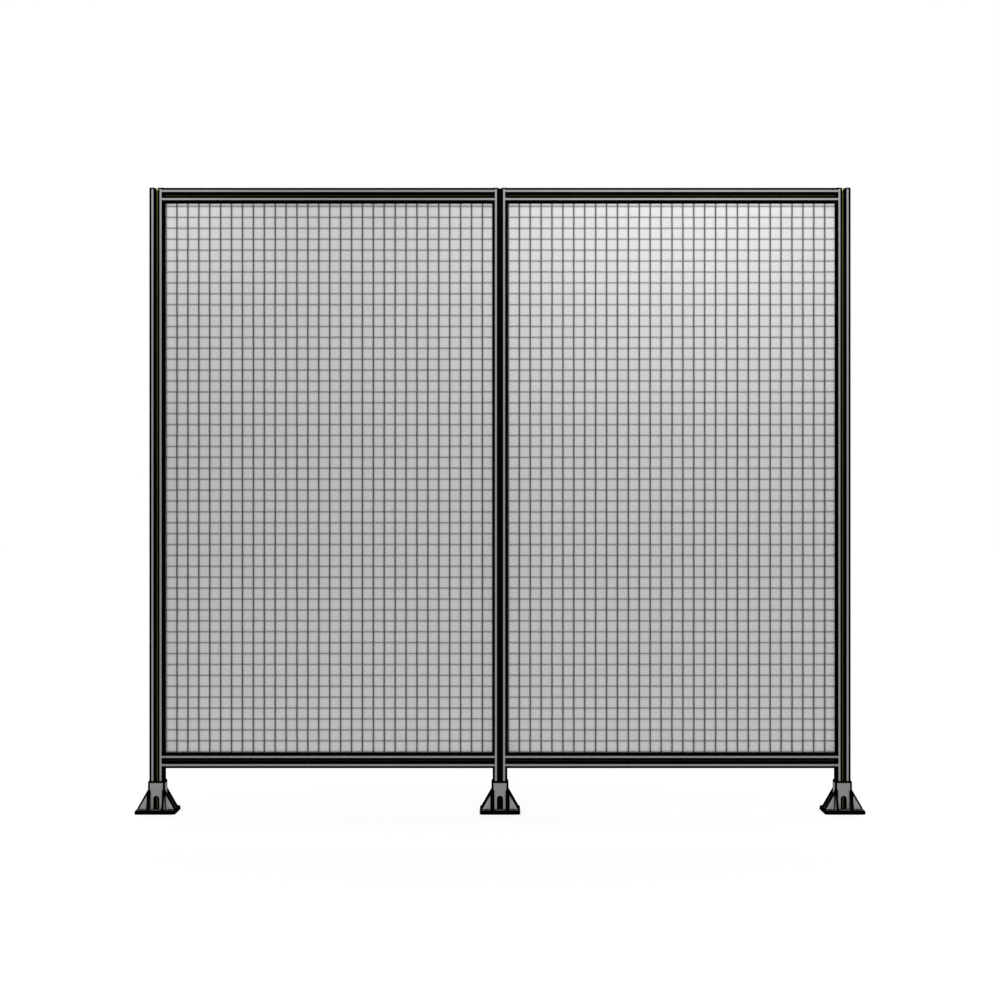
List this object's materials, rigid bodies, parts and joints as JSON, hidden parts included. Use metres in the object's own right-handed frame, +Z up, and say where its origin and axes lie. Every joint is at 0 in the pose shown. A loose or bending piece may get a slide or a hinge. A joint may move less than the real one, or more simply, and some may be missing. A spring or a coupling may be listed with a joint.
{
  "type": "mesh guard fence",
  "caption": "Free-standing guard fence of slotted aluminium posts and rails on cast feet, with crimped wire mesh over a thin tinted sheet in each bay.",
  "frame": {"origin": "centre of the middle foot's underside, on the floor", "axes": "+X along the fence, +Y through it towards the back, +Z up"},
  "size_m": [2.213, 0.123, 1.902],
  "materials": {
    "profile": "satin anodised",
    "slot_strip": "matt",
    "foot": "bead blasted casting",
    "wire": "galvanised wire",
    "sheet": "smoke tinted polycarbonate",
    "edging": "matt"
  },
  "bodies": {
    "root": {"left_post": "profile", "left_post_slot_strips": "slot_strip", "left_foot": "foot", "middle_post": "profile", "middle_post_slot_strips": "slot_strip", "middle_foot": "foot", "right_post": "profile", "right_post_slot_strips": "slot_strip", "right_foot": "foot", "left_top_rail": "profile", "left_top_rail_slot_strips": "slot_strip", "left_bottom_rail": "profile", "left_bottom_rail_slot_strips": "slot_strip", "left_mesh_uprights": "wire", "left_mesh_crosswires": "wire", "left_sheet": "sheet", "left_bay_left_edging": "edging", "left_bay_right_edging": "edging", "left_bay_top_edging": "edging", "left_bay_bottom_edging": "edging", "right_top_rail": "profile", "right_top_rail_slot_strips": "slot_strip", "right_bottom_rail": "profile", "right_bottom_rail_slot_strips": "slot_strip", "right_mesh_uprights": "wire", "right_mesh_crosswires": "wire", "right_sheet": "sheet", "right_bay_left_edging": "edging", "right_bay_right_edging": "edging", "right_bay_top_edging": "edging", "right_bay_bottom_edging": "edging"}
  },
  "joints": []
}
